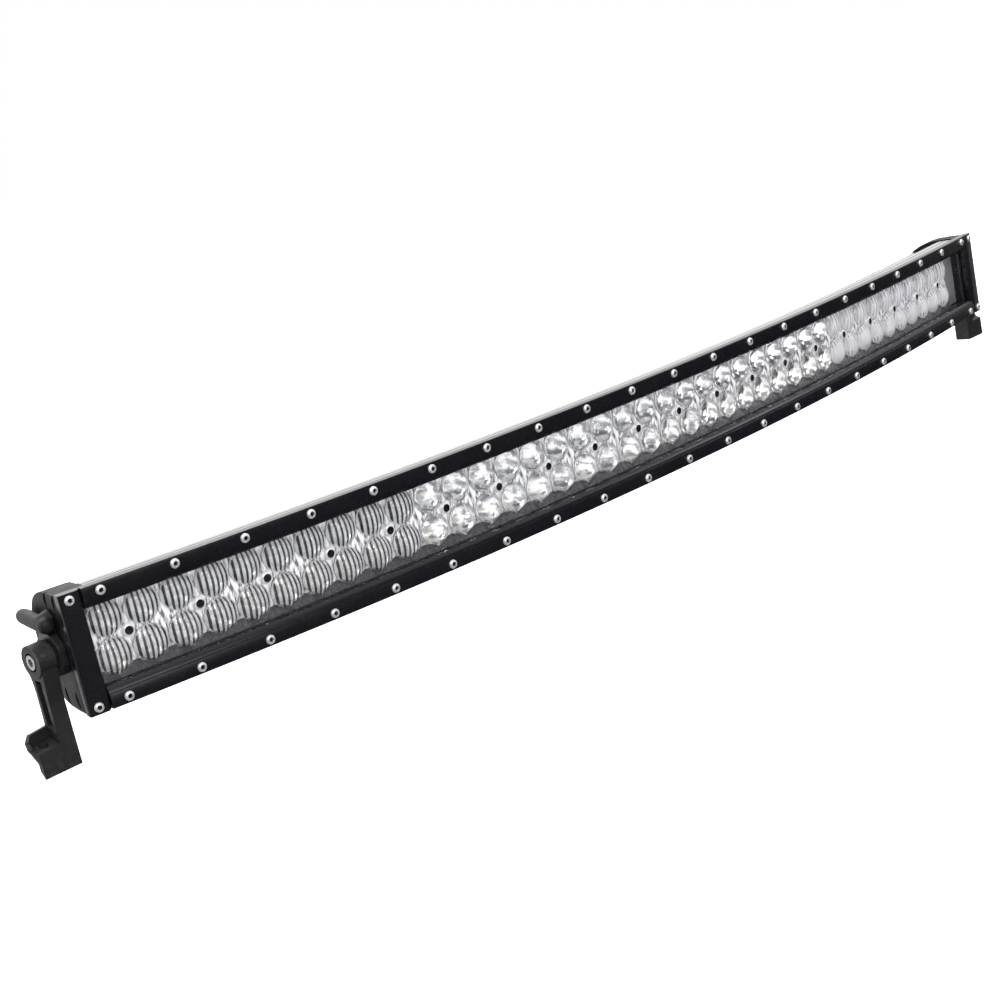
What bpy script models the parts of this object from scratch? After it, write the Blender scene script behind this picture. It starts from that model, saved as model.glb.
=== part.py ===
"""Curved double-row LED light bar with an end bracket on each side.

Metres, +Z up, front faces -Y. The origin is under the middle of the bar, on the plane the feet stand on.
The bar is bent: seen from above its front face is an arc about a vertical axis behind the bar. A place on the
bar is given by three values: along (distance on the arc, 0 in the middle), depth (behind the bezel's front
face, towards the arc's axis) and height (above the bar's middle line).
"""

import math

import bmesh
import bpy
from mathutils import Matrix, Vector

MM = 0.001

# Driving dimensions
ARC_RADIUS = 3038 * MM
HALF_LENGTH = 537 * MM
HALF_HEIGHT = 40 * MM
MIDDLE_HEIGHT = 71.5 * MM
FRONT_Y = -58.2 * MM
MODULE_PITCH = 51 * MM
MODULE_COUNT = 20
MODULE_SHIFT = -9 * MM
GAP = 0.3 * MM

# Bezel and window
BEZEL_DEPTH = 7.3 * MM
BEZEL_WIDTH = 14 * MM
END_BEZEL_LENGTH = 15 * MM
WINDOW_HALF_HEIGHT = 31 * MM
WINDOW_FRONT = 7.8 * MM
WINDOW_THICKNESS = 2.8 * MM
WINDOW_HALF_LENGTH = 526 * MM
SCREW_ALONG = 530.5 * MM
SCREW_HEIGHT = 35.3 * MM
SCREW_RADIUS = 1.5 * MM
SCREW_HEAD_RADIUS = 3.25 * MM
GASKET_THICKNESS = 1.1 * MM
GASKET_WIDTH = 3.4 * MM
SEAT_HALF_HEIGHT = 31.3 * MM
SEAT_HALF_LENGTH = 526.3 * MM
SEAT_DEPTH = 12.3 * MM

# Housing and end caps
HOUSING_FRONT = 7.6 * MM
HOUSING_HALF_HEIGHT = 38.3 * MM
HOUSING_HALF_LENGTH = 515.6 * MM
CHANNEL_HALF_HEIGHT = 27.3 * MM
CHANNEL_DEPTH = 26.2 * MM
CHANNEL_HALF_LENGTH = 522.3 * MM
BASE_DEPTH = 30.5 * MM
FIN_COUNT = 9
FIN_PITCH = 7.4 * MM
FIN_THICKNESS = 2.2 * MM
CAP_INNER_END = 517 * MM
CAP_FLAT_DEPTH = 22 * MM
CAP_BACK_DEPTH = 68 * MM
CAP_HALF_HEIGHT = 39 * MM
CAP_ROUNDNESS = 2.4
CAP_WALL = 3.5 * MM
END_GASKET_THICKNESS = 0.8 * MM

# Optics and electronics
MODULE_SIZE = 50.4 * MM
MODULE_FRONT = 12.9 * MM
MODULE_BACK = 24.0 * MM
CUP_SPACING_X = 25.5 * MM
CUP_SPACING_Z = 25.6 * MM
CUP_MOUTH_RADIUS = 11.9 * MM
CUP_THROAT_RADIUS = 5 * MM
BOARD_THICKNESS = 1.5 * MM
BOARD_HALF_HEIGHT = 25 * MM
BOARD_COUNT = 4

# Brackets and pivots
PIVOT_DEPTH = 74 * MM
ARM_FACE_X = 538.2 * MM
HEAD_RADIUS = 11 * MM
HEAD_WIDTH = 11.6 * MM
ARM_THICKNESS = 10.8 * MM
FOOT_HEIGHT = 17.2 * MM
FOOT_REACH = 26.3 * MM
ARM_FRONT = -6.9 * MM
ARM_BACK = 6.5 * MM
FOOT_BACK = 8.6 * MM
WALL_TOP = -43.3 * MM
FOOT_HOLE_RADIUS = 3.3 * MM
FOOT_HOLE_U = 18.8 * MM
FOOT_HOLE_V = -0.3 * MM
BOSS_RADIUS = 15 * MM
BOSS_FACE_X = 536.6 * MM
BOLT_RADIUS = 3 * MM
BOLT_HEAD_RADIUS = 5 * MM
RECESS_RADIUS = 6.3 * MM
RECESS_FLOOR = 2.8 * MM

# Cable boot
BOOT_HEIGHT = 20 * MM
BOOT_RADIUS = 5.4 * MM
BOOT_STANDOFF = 5.8 * MM

ARC_STEP = 51 * MM
ROUND_STEPS = 24

for leftover in list(bpy.data.objects):
    bpy.data.objects.remove(leftover, do_unlink=True)

parts = bpy.data.collections.new("led_light_bar")
cutters = bpy.data.collections.new("cutters")
bpy.context.scene.collection.children.link(parts)
bpy.context.scene.collection.children.link(cutters)


# ---------------------------------------------------------------- materials

def make_material(name, colour, roughness, metallic=0.0, transmission=0.0):
    material = bpy.data.materials.new(name)
    material.use_nodes = True
    shader = material.node_tree.nodes["Principled BSDF"]
    shader.inputs["Base Color"].default_value = (*colour, 1.0)
    shader.inputs["Roughness"].default_value = roughness
    shader.inputs["Metallic"].default_value = metallic
    shader.inputs["Transmission Weight"].default_value = transmission
    return material


ANODISED = make_material("anodised_housing", (0.012, 0.012, 0.014), 0.38, 0.6)
CAP_PAINT = make_material("cap_paint", (0.013, 0.013, 0.015), 0.35)
BEZEL_PAINT = make_material("bezel_paint", (0.010, 0.010, 0.014), 0.28)
BRACKET_PAINT = make_material("bracket_paint", (0.026, 0.028, 0.028), 0.5)
STAINLESS = make_material("stainless", (0.72, 0.72, 0.72), 0.22, 1.0)
CLEAR = make_material("clear_polycarbonate", (0.95, 0.95, 0.97), 0.03, 0.0, 1.0)
SILICONE = make_material("silicone", (0.05, 0.05, 0.05), 0.7)
REFLECTOR = make_material("bright_reflector", (0.86, 0.86, 0.88), 0.12, 1.0)
BOARD = make_material("white_board", (0.75, 0.76, 0.75), 0.45)
DRIVER = make_material("driver_board", (0.02, 0.12, 0.05), 0.4)
RUBBER = make_material("rubber", (0.02, 0.02, 0.021), 0.6)
BOSS_PLASTIC = make_material("boss_plastic", (0.012, 0.012, 0.013), 0.4)


# ---------------------------------------------------------------- helpers

def to_object(name, bm, material, collection=parts):
    """A closed bmesh as a named object, with its faces pointing out."""
    bmesh.ops.recalc_face_normals(bm, faces=bm.faces)
    mesh = bpy.data.meshes.new(name)
    bm.to_mesh(mesh)
    bm.free()
    mesh.materials.append(material)
    mesh.shade_smooth()
    mesh.set_sharp_from_angle(angle=math.radians(35))
    made = bpy.data.objects.new(name, mesh)
    collection.objects.link(made)
    if collection is cutters:
        made.hide_render = True
        made.display_type = "WIRE"
    return made


def apply_modifiers(made):
    """The object with its modifiers applied, and its cutters no longer needed."""
    graph = bpy.context.evaluated_depsgraph_get()
    mesh = bpy.data.meshes.new_from_object(made.evaluated_get(graph))
    made.modifiers.clear()
    made.data = mesh
    return made


def boolean(made, other, operation):
    modifier = made.modifiers.new(operation.lower(), "BOOLEAN")
    modifier.operation = operation
    modifier.solver = "EXACT"
    modifier.object = other
    bpy.context.view_layer.update()
    apply_modifiers(made)


def cut(made, *tools):
    for tool in tools:
        boolean(made, tool, "DIFFERENCE")
    return made


def join(made, *others):
    """Adds closed bodies that overlap the object to it, as one solid."""
    for other in others:
        boolean(made, other, "UNION")
    return made


def on_bar(along, depth, height):
    """World place of a point on the bar."""
    angle = along / ARC_RADIUS
    radius = ARC_RADIUS - depth
    return Vector((
        radius * math.sin(angle),
        FRONT_Y + ARC_RADIUS - radius * math.cos(angle),
        MIDDLE_HEIGHT + height,
    ))


def bar_frame(along, depth, height):
    """Matrix of a piece on the bar: its X runs along the bar, its Y backwards and its Z up."""
    turn = Matrix.Rotation(along / ARC_RADIUS, 4, "Z")
    return Matrix.Translation(on_bar(along, depth, height)) @ turn


def swept(name, outline, start, end, material, collection=parts):
    """A closed (depth, height) outline carried along the bar's arc from start to end."""
    bm = bmesh.new()
    corners = [bm.verts.new(on_bar(start, depth, height)) for depth, height in outline]
    face = bm.faces.new(corners)
    steps = max(1, round((end - start) / ARC_STEP))
    bmesh.ops.spin(
        bm,
        geom=[*corners, *face.edges, face],
        cent=(0, FRONT_Y + ARC_RADIUS, 0),
        axis=(0, 0, 1),
        angle=(end - start) / ARC_RADIUS,
        steps=steps,
        use_duplicate=False,
    )
    bmesh.ops.holes_fill(bm, edges=[edge for edge in bm.edges if edge.is_boundary])
    return to_object(name, bm, material, collection)


def extruded(name, outline, low, high, axis, material, collection=parts):
    """A flat outline given thickness from low to high along one axis of its own frame."""
    bm = bmesh.new()
    places = {
        "X": lambda a, b, t: (t, a, b),
        "Y": lambda a, b, t: (a, t, b),
        "Z": lambda a, b, t: (a, b, t),
    }[axis]
    corners = [bm.verts.new(places(a, b, low)) for a, b in outline]
    face = bm.faces.new(corners)
    grown = bmesh.ops.extrude_face_region(bm, geom=[face])
    shift = Vector(places(0, 0, high - low))
    moved = [item for item in grown["geom"] if isinstance(item, bmesh.types.BMVert)]
    bmesh.ops.translate(bm, verts=moved, vec=shift)
    return to_object(name, bm, material, collection)


def box(name, low, high, material, collection=parts):
    bm = bmesh.new()
    bmesh.ops.create_cube(bm, size=1.0)
    size = [b - a for a, b in zip(low, high)]
    middle = [(a + b) / 2 for a, b in zip(low, high)]
    bmesh.ops.scale(bm, vec=size, verts=bm.verts)
    bmesh.ops.translate(bm, vec=middle, verts=bm.verts)
    return to_object(name, bm, material, collection)


def cylinder_x(name, radius, low, high, material, collection=parts, steps=ROUND_STEPS, end_radius=None):
    """A cylinder or cone on the X axis, from low to high."""
    bm = bmesh.new()
    bmesh.ops.create_cone(
        bm,
        cap_ends=True,
        segments=steps,
        radius1=radius,
        radius2=radius if end_radius is None else end_radius,
        depth=high - low,
    )
    turn = Matrix.Rotation(math.pi / 2, 4, "Y")
    bmesh.ops.transform(bm, matrix=Matrix.Translation(((low + high) / 2, 0, 0)) @ turn, verts=bm.verts)
    return to_object(name, bm, material, collection)


def ring_x(name, outer, inner, low, high, material):
    ring = cylinder_x(name, outer, low, high, material)
    hole = cylinder_x(name + "_hole", inner, low - 1 * MM, high + 1 * MM, material, cutters)
    return cut(ring, hole)


def place(made, matrix):
    made.matrix_world = matrix
    return made


def mirrored_outline(half):
    """A full outline from its upper half, given from front to back."""
    return half + [(depth, -height) for depth, height in reversed(half)]


# ---------------------------------------------------------------- housing and end caps

def back_curve(front, back, half_height, steps):
    """Upper half of the rounded back, from the flat top to the middle line."""
    power = 2 / CAP_ROUNDNESS
    points = []
    for step in range(steps + 1):
        angle = math.pi / 2 * (1 - step / steps)
        depth = front + (back - front) * math.cos(angle) ** power
        points.append((depth, half_height * math.sin(angle) ** power))
    return points


def cap_outline(inset, front):
    """Section of an end cap, drawn in by the inset and cut off square at the front."""
    half_height = CAP_HALF_HEIGHT - inset
    back = CAP_BACK_DEPTH - inset
    curve = back_curve(CAP_FLAT_DEPTH, back, half_height, 9)
    share = max(0, front - CAP_FLAT_DEPTH) / (back - CAP_FLAT_DEPTH)
    half = [(front, half_height * (1 - share ** CAP_ROUNDNESS) ** (1 / CAP_ROUNDNESS))]
    half += [point for point in curve[:-1] if point[0] > front + 1 * MM]
    lower = [(depth, -height) for depth, height in reversed(half)]
    return half + [(back, 0)] + lower


def fin_tip(height):
    """How far back a fin at this height reaches, 2 mm inside the end caps' outline."""
    share = min(abs(height) / HOUSING_HALF_HEIGHT, 0.97)
    reach = (1 - share ** CAP_ROUNDNESS) ** (1 / CAP_ROUNDNESS)
    return CAP_FLAT_DEPTH - 2 * MM + (CAP_BACK_DEPTH - CAP_FLAT_DEPTH) * reach


def housing_outline():
    """Right-hand section of the extrusion: window seat, board channel, base and fins."""
    top_flat_end = 24 * MM
    outer = [
        (HOUSING_FRONT, HOUSING_HALF_HEIGHT),
        (11 * MM, HOUSING_HALF_HEIGHT),
        (11.5 * MM, HOUSING_HALF_HEIGHT - 0.6 * MM),
        (12 * MM, HOUSING_HALF_HEIGHT),
        (17 * MM, HOUSING_HALF_HEIGHT),
        (17.5 * MM, HOUSING_HALF_HEIGHT - 0.6 * MM),
        (18 * MM, HOUSING_HALF_HEIGHT),
        (top_flat_end, HOUSING_HALF_HEIGHT),
        (BASE_DEPTH, HOUSING_HALF_HEIGHT - 3.5 * MM),
    ]
    fins = []
    for number in range(FIN_COUNT):
        height = ((FIN_COUNT - 1) / 2 - number) * FIN_PITCH
        top = height + FIN_THICKNESS / 2
        bottom = height - FIN_THICKNESS / 2
        tip = fin_tip(max(abs(top), abs(bottom)))
        fins += [(BASE_DEPTH, top), (tip, top - 0.3 * MM), (tip, bottom + 0.3 * MM), (BASE_DEPTH, bottom)]
    inner = [
        (CHANNEL_DEPTH, CHANNEL_HALF_HEIGHT),
        (SEAT_DEPTH, CHANNEL_HALF_HEIGHT),
        (SEAT_DEPTH, SEAT_HALF_HEIGHT),
        (HOUSING_FRONT, SEAT_HALF_HEIGHT),
    ]
    lower_inner = [(depth, -height) for depth, height in reversed(inner)]
    lower_outer = [(depth, -height) for depth, height in reversed(outer)]
    return outer + fins + lower_outer + lower_inner + inner


def rectangle(front, back, half_height):
    return [(front, half_height), (back, half_height), (back, -half_height), (front, -half_height)]


def front_pocket(side, inner_end):
    """Cutters for the stretch of board channel and window seat that runs on into an end piece."""
    tools = []
    for label, back, half_height, reach in (
        ("channel", CHANNEL_DEPTH, CHANNEL_HALF_HEIGHT, CHANNEL_HALF_LENGTH),
        ("seat", SEAT_DEPTH, SEAT_HALF_HEIGHT, SEAT_HALF_LENGTH),
    ):
        outline = rectangle(-5 * MM, back, half_height)
        start, end = sorted((side * (inner_end - 3 * MM), side * reach))
        tools.append(swept(f"{label}_cutter", outline, start, end, BOARD, cutters))
    return tools


def slot_cutter(side, depth, height, lean):
    """A curved groove, widest in its middle, on an end cap's outer face and bowed backwards."""
    steps = 8
    half_length = 5.6 * MM
    outline = []
    for bow, order in ((3.2 * MM, 1), (0.1 * MM, -1)):
        for step in range(steps + 1):
            share = order * (2 * step / steps - 1)
            outline.append((bow * (1 - share ** 2) + 0.6 * MM * order, half_length * share))
    groove = extruded("slot_cutter", outline, -2.2 * MM, 4 * MM, "X", BOARD, cutters)
    tilt = Matrix.Rotation(lean, 4, "X")
    mirror = Matrix.Scale(side, 4, (1, 0, 0))
    place(groove, bar_frame(side * HALF_LENGTH, depth, height) @ mirror @ tilt)
    return groove


def build_end_cap(name, side):
    start, end = sorted((side * CAP_INNER_END, side * HALF_LENGTH))
    cap = swept(name, cap_outline(0, HOUSING_FRONT), start, end, CAP_PAINT)
    hollow_outline = cap_outline(CAP_WALL, BASE_DEPTH)
    low, high = sorted((side * (CAP_INNER_END - 3 * MM), side * (HALF_LENGTH - CAP_WALL)))
    hollow = swept("hollow_cutter", hollow_outline, low, high, BOARD, cutters)
    cut(cap, hollow, *front_pocket(side, CAP_INNER_END))
    for depth, height in ((11, 33.6), (26.3, 33.6), (16.5, -31.8), (35.5, -31.8)):
        lean = math.copysign(math.radians(12), height)
        cut(cap, slot_cutter(side, depth * MM, height * MM, lean))
    return cap


def build_end_gasket(name, side):
    inner = HOUSING_HALF_LENGTH + GAP
    start, end = sorted((side * inner, side * (inner + END_GASKET_THICKNESS)))
    gasket = swept(name, cap_outline(3.2 * MM, HOUSING_FRONT), start, end, SILICONE)
    return cut(gasket, *front_pocket(side, inner))


def build_housing():
    return swept("housing", housing_outline(), -HOUSING_HALF_LENGTH, HOUSING_HALF_LENGTH, ANODISED)


# ---------------------------------------------------------------- bezel, window and gasket

def strip_outline():
    """Top strip's section: flat screw land, rounded outer edge, groove and sloping inner lip."""
    outer = HALF_HEIGHT
    inner = HALF_HEIGHT - BEZEL_WIDTH
    return [
        (0, inner + 4.2 * MM),
        (0, outer - 1.5 * MM),
        (0.5 * MM, outer - 0.5 * MM),
        (1.5 * MM, outer),
        (BEZEL_DEPTH, outer),
        (BEZEL_DEPTH, inner),
        (3.4 * MM, inner),
        (1.0 * MM, inner + 2.2 * MM),
        (1.0 * MM, inner + 3.4 * MM),
    ]


def build_strips():
    reach = HALF_LENGTH - END_BEZEL_LENGTH - GAP
    top = strip_outline()
    bottom = [(depth, -height) for depth, height in reversed(top)]
    swept("bezel_strip_top", top, -reach, reach, BEZEL_PAINT)
    swept("bezel_strip_bottom", bottom, -reach, reach, BEZEL_PAINT)


def build_end_bezel(name, side):
    """Upright end piece of the bezel: its inner edge slopes to the window."""
    low = -END_BEZEL_LENGTH
    outline = [
        (low, 3.4 * MM),
        (low + 3.2 * MM, 0),
        (-1.5 * MM, 0),
        (-0.5 * MM, 0.5 * MM),
        (0, 1.5 * MM),
        (0, BEZEL_DEPTH),
        (low, BEZEL_DEPTH),
    ]
    bezel = extruded(name, outline, -HALF_HEIGHT, HALF_HEIGHT, "Z", BEZEL_PAINT)
    if side < 0:
        bmesh_mirror(bezel)
    place(bezel, bar_frame(side * HALF_LENGTH, 0, 0))
    return bezel


def bmesh_mirror(made):
    """Mirrors an object's mesh along its own X, with its faces still pointing out."""
    bm = bmesh.new()
    bm.from_mesh(made.data)
    bmesh.ops.scale(bm, vec=(-1, 1, 1), verts=bm.verts)
    bmesh.ops.recalc_face_normals(bm, faces=bm.faces)
    bm.to_mesh(made.data)
    bm.free()


def build_window():
    outline = rectangle(WINDOW_FRONT, WINDOW_FRONT + WINDOW_THICKNESS, WINDOW_HALF_HEIGHT)
    swept("front_window", outline, -WINDOW_HALF_LENGTH, WINDOW_HALF_LENGTH, CLEAR)


def build_window_gasket():
    front = WINDOW_FRONT + WINDOW_THICKNESS + GAP
    outline = rectangle(front, front + GASKET_THICKNESS, WINDOW_HALF_HEIGHT)
    gasket = swept("window_gasket", outline, -WINDOW_HALF_LENGTH, WINDOW_HALF_LENGTH, SILICONE)
    opening = rectangle(front - 2 * MM, front + 4 * MM, WINDOW_HALF_HEIGHT - GASKET_WIDTH)
    reach = WINDOW_HALF_LENGTH - GASKET_WIDTH
    return cut(gasket, swept("gasket_cutter", opening, -reach, reach, BOARD, cutters))


def build_end_screw(name, side, vertical, bezel, cap):
    """Button-head screw that holds an end bezel to its cap."""
    frame = bar_frame(side * SCREW_ALONG, 0, vertical * SCREW_HEIGHT) @ Matrix.Rotation(math.pi / 2, 4, "Z")
    hole = cylinder_x("screw_hole", SCREW_RADIUS + GAP, -4 * MM, 17 * MM, STAINLESS, cutters, 12)
    place(hole, frame)
    head = cylinder_x(name, SCREW_HEAD_RADIUS, -1.0 * MM - GAP, -GAP, STAINLESS, parts, 20)
    dome = cylinder_x("dome", 2.2 * MM, -1.9 * MM, -1.0 * MM - GAP, STAINLESS, cutters, 20, SCREW_HEAD_RADIUS)
    shank = cylinder_x("shank", SCREW_RADIUS, -1.0 * MM, 15 * MM, STAINLESS, cutters, 12)
    socket = cylinder_x("socket", 1.25 * MM, -4 * MM, -0.8 * MM, STAINLESS, cutters, 6)
    join(head, dome, shank)
    cut(head, socket)
    place(head, frame)
    bpy.context.view_layer.update()
    cut(bezel, hole)
    cut(cap, hole)


# ---------------------------------------------------------------- optics and electronics

def module_mesh():
    """One 2 x 2 reflector block: four cones open to the front, and a screw hole in the middle."""
    half = MODULE_SIZE / 2
    depth = MODULE_BACK - MODULE_FRONT
    block = box("module_block", (-half, 0, -26 * MM), (half, depth, 26 * MM), REFLECTOR)
    facing = Matrix.Rotation(math.pi / 2, 4, "Z")
    for column in (-1, 1):
        for row in (-1, 1):
            cup = cylinder_x(
                "cup_cutter", CUP_MOUTH_RADIUS, -0.5 * MM, depth + 1 * MM, REFLECTOR, cutters, 12,
                CUP_THROAT_RADIUS,
            )
            spot = Vector((column * CUP_SPACING_X / 2, 0, row * CUP_SPACING_Z / 2))
            place(cup, Matrix.Translation(spot) @ facing)
            cut(block, cup)
    screw_hole = cylinder_x("module_screw_cutter", 1.6 * MM, -1 * MM, depth + 1 * MM, REFLECTOR, cutters, 10)
    cut(block, place(screw_hole, facing))
    mesh = block.data
    bpy.data.objects.remove(block)
    return mesh


def build_modules():
    mesh = module_mesh()
    for number in range(MODULE_COUNT):
        along = MODULE_SHIFT + (number - (MODULE_COUNT - 1) / 2) * MODULE_PITCH
        module = bpy.data.objects.new(f"optic_module_{number + 1:02d}", mesh)
        parts.objects.link(module)
        place(module, bar_frame(along, MODULE_FRONT, 0))


def build_boards():
    length = MODULE_COUNT * MODULE_PITCH / BOARD_COUNT
    front = MODULE_BACK + GAP
    outline = rectangle(front, front + BOARD_THICKNESS, BOARD_HALF_HEIGHT)
    for number in range(BOARD_COUNT):
        start = MODULE_SHIFT + (number - BOARD_COUNT / 2) * length
        swept(f"led_board_{number + 1}", outline, start + GAP, start + length - GAP, BOARD)


def build_driver_board():
    """Upright board in the left end cap's hollow, with a coil and a row of capacitors on it."""
    along = -(CAP_INNER_END + 7 * MM)
    board = box("driver_board", (0, 34 * MM, -21 * MM), (1.6 * MM, 57 * MM, 21 * MM), DRIVER)
    coil = cylinder_x("coil", 7 * MM, -4.5 * MM, 0.5 * MM, DRIVER, cutters, 16)
    place(coil, Matrix.Translation((0, 45 * MM, 12 * MM)))
    tools = [coil]
    for height in (-14 * MM, -3 * MM):
        capacitor = cylinder_x("capacitor", 4 * MM, -4.5 * MM, 0.5 * MM, DRIVER, cutters, 12)
        tools.append(place(capacitor, Matrix.Translation((0, 44 * MM, height))))
    bpy.context.view_layer.update()
    join(board, *tools)
    place(board, bar_frame(along, 0, 0))
    return board


# ---------------------------------------------------------------- brackets and pivots

def arc_points(radius, start, end, steps):
    """Points (sin, cos) of an arc, angles in degrees clockwise from straight up."""
    turns = [math.radians(start + (end - start) * step / steps) for step in range(steps + 1)]
    return [(radius * math.sin(turn), radius * math.cos(turn)) for turn in turns]


def hull(name, points, material, collection=cutters):
    """The smallest convex solid around some points."""
    bm = bmesh.new()
    corners = [bm.verts.new(point) for point in points]
    found = bmesh.ops.convex_hull(bm, input=corners)
    inside = [item for item in found["geom_interior"] if isinstance(item, bmesh.types.BMVert)]
    bmesh.ops.delete(bm, geom=inside, context="VERTS")
    return to_object(name, bm, material, collection)


def bracket_foot():
    """Foot block with a flared outer corner, and the thin wall that stands round its back and end."""
    base = -MIDDLE_HEIGHT
    floor = base + FOOT_HEIGHT
    root = ARM_THICKNESS - 2 * MM
    waist = base + 10.9 * MM
    lower = hull("foot", [
        (root, ARM_FRONT, base),
        (FOOT_REACH, ARM_FRONT, base),
        (14 * MM, FOOT_BACK, base),
        (root, FOOT_BACK, base),
        (FOOT_REACH, -2.7 * MM, base + 4.9 * MM),
        (FOOT_REACH, -2.7 * MM, waist),
        (root, ARM_FRONT, waist),
        (FOOT_REACH, ARM_FRONT, waist),
        (17 * MM, FOOT_BACK - 0.6 * MM, waist),
        (root, FOOT_BACK, waist),
    ], BRACKET_PAINT)
    upper = hull("foot_top", [
        (root, ARM_FRONT, waist - 1 * MM),
        (FOOT_REACH, ARM_FRONT, waist - 1 * MM),
        (FOOT_REACH, -2.7 * MM, waist - 1 * MM),
        (17 * MM, FOOT_BACK - 0.7 * MM, waist - 1 * MM),
        (root, FOOT_BACK, waist - 1 * MM),
        (root, ARM_FRONT, floor),
        (FOOT_REACH, ARM_FRONT, floor),
        (28.2 * MM, -0.8 * MM, floor + 1.6 * MM),
        (28.7 * MM, 2.8 * MM, floor + 2.6 * MM),
        (25.6 * MM, 4.8 * MM, floor + 3.2 * MM),
        (root, FOOT_BACK, floor + 4.3 * MM),
    ], BRACKET_PAINT)
    low = floor - 2 * MM
    back_wall = hull("back_wall", [
        (root, FOOT_BACK, low),
        (25.2 * MM, 4.7 * MM, low),
        (28.4 * MM, 2.8 * MM, low + 3 * MM),
        (root, 6.1 * MM, low),
        (24.6 * MM, 2.2 * MM, low),
        (26.6 * MM, 1.6 * MM, low),
        (root, FOOT_BACK, WALL_TOP),
        (25.2 * MM, 4.7 * MM, WALL_TOP),
        (29.1 * MM, 2.8 * MM, WALL_TOP - 4 * MM),
        (root, 6.1 * MM, WALL_TOP),
        (24.6 * MM, 2.2 * MM, WALL_TOP),
        (26.8 * MM, 1.6 * MM, WALL_TOP - 4 * MM),
    ], BRACKET_PAINT)
    end_wall = hull("end_wall", [
        (28.3 * MM, 2.8 * MM, low + 3 * MM),
        (26.2 * MM, 2.4 * MM, low),
        (29.0 * MM, 2.6 * MM, WALL_TOP - 4.2 * MM),
        (26.8 * MM, 2.2 * MM, WALL_TOP - 4.2 * MM),
        (28.0 * MM, -0.7 * MM, low + 3 * MM),
        (26.2 * MM, -0.9 * MM, low),
        (28.2 * MM, -0.7 * MM, WALL_TOP - 8.5 * MM),
        (26.2 * MM, -0.9 * MM, WALL_TOP - 8.5 * MM),
    ], BRACKET_PAINT)
    return lower, upper, back_wall, end_wall


def bracket_mesh():
    """Casting of one bracket. X is outward from the arm's inner face, Y back, Z up from the pivot."""
    base = -MIDDLE_HEIGHT
    side_view = arc_points(HEAD_RADIUS, -122, 122, 20) + [
        (ARM_BACK + 0.6 * MM, -14 * MM),
        (ARM_BACK, -22 * MM),
        (ARM_BACK + 0.5 * MM, -40 * MM),
        (FOOT_BACK, -52 * MM),
        (FOOT_BACK, base),
        (ARM_FRONT, base),
        (ARM_FRONT, -28 * MM),
        (ARM_FRONT - 1.4 * MM, -14 * MM),
    ]
    arm = extruded("bracket", side_view, 0, ARM_THICKNESS, "X", BRACKET_PAINT)
    head = cylinder_x("head", HEAD_RADIUS, ARM_THICKNESS - 2 * MM, HEAD_WIDTH, BRACKET_PAINT, cutters)
    channel_low = base + FOOT_HEIGHT + 11 * MM
    low_corner = (7.4 * MM, -3.6 * MM, channel_low)
    high_corner = (20 * MM, 3.8 * MM, -12.5 * MM)
    channel = box("channel", low_corner, high_corner, BRACKET_PAINT, cutters)
    cut(arm, channel)
    join(arm, head, *bracket_foot())
    recess = cylinder_x("recess", RECESS_RADIUS, RECESS_FLOOR, 30 * MM, BRACKET_PAINT, cutters, 20)
    bore = cylinder_x("bore", BOLT_RADIUS + 0.3 * MM, -5 * MM, 20 * MM, BRACKET_PAINT, cutters, 20)
    foot_hole = cylinder_x("foot_hole", FOOT_HOLE_RADIUS, -30 * MM, 30 * MM, BRACKET_PAINT, cutters, 20)
    upright = Matrix.Rotation(math.pi / 2, 4, "Y")
    place(foot_hole, Matrix.Translation((FOOT_HOLE_U, FOOT_HOLE_V, base)) @ upright)
    bpy.context.view_layer.update()
    cut(arm, recess, bore, foot_hole)
    mesh = arm.data
    bpy.data.objects.remove(arm)
    return mesh


def side_frame(side):
    """Pivot frame of one end: X points outward from the arm's inner face, Y back, Z up."""
    spot = Matrix.Translation((side * ARM_FACE_X, FRONT_Y + PIVOT_DEPTH, MIDDLE_HEIGHT))
    return spot @ Matrix.Scale(side, 4, (1, 0, 0))


def settle(made, side):
    """Puts a piece built in the pivot frame in its place, with its origin on the pivot axis."""
    if side < 0:
        bmesh_mirror(made)
    place(made, Matrix.Translation(side_frame(side).translation))
    return made


def build_bracket(label, side, mesh):
    """One casting of the pair: the two are mirror images."""
    bracket = bpy.data.objects.new(f"{label}_bracket", mesh.copy())
    parts.objects.link(bracket)
    settle(bracket, side)


def boss_outline():
    """Round outline with eight shallow lobes."""
    points = []
    steps = 48
    for step in range(steps):
        angle = 2 * math.pi * step / steps
        radius = BOSS_RADIUS - 0.8 * MM * (1 + math.cos(8 * angle)) / 2
        points.append((radius * math.cos(angle), radius * math.sin(angle)))
    return points


def build_boss(label, side):
    """Wedge between the end cap's slanted face and the bracket: its outer face is square to the pivot."""
    face = BOSS_FACE_X - ARM_FACE_X
    boss = extruded(f"{label}_pivot_boss", boss_outline(), -18 * MM, face, "X", BOSS_PLASTIC)
    thread = cylinder_x("thread", BOLT_RADIUS + 0.3 * MM, -7.2 * MM, 5 * MM, BOSS_PLASTIC, cutters, 20)
    cut(boss, thread)
    settle(boss, side)
    bpy.context.view_layer.update()
    outline = rectangle(-60 * MM, 130 * MM, 60 * MM)
    start, end = sorted((side * (HALF_LENGTH - 80 * MM), side * (HALF_LENGTH + GAP)))
    return cut(boss, swept("boss_cutter", outline, start, end, BOARD, cutters))


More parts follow.
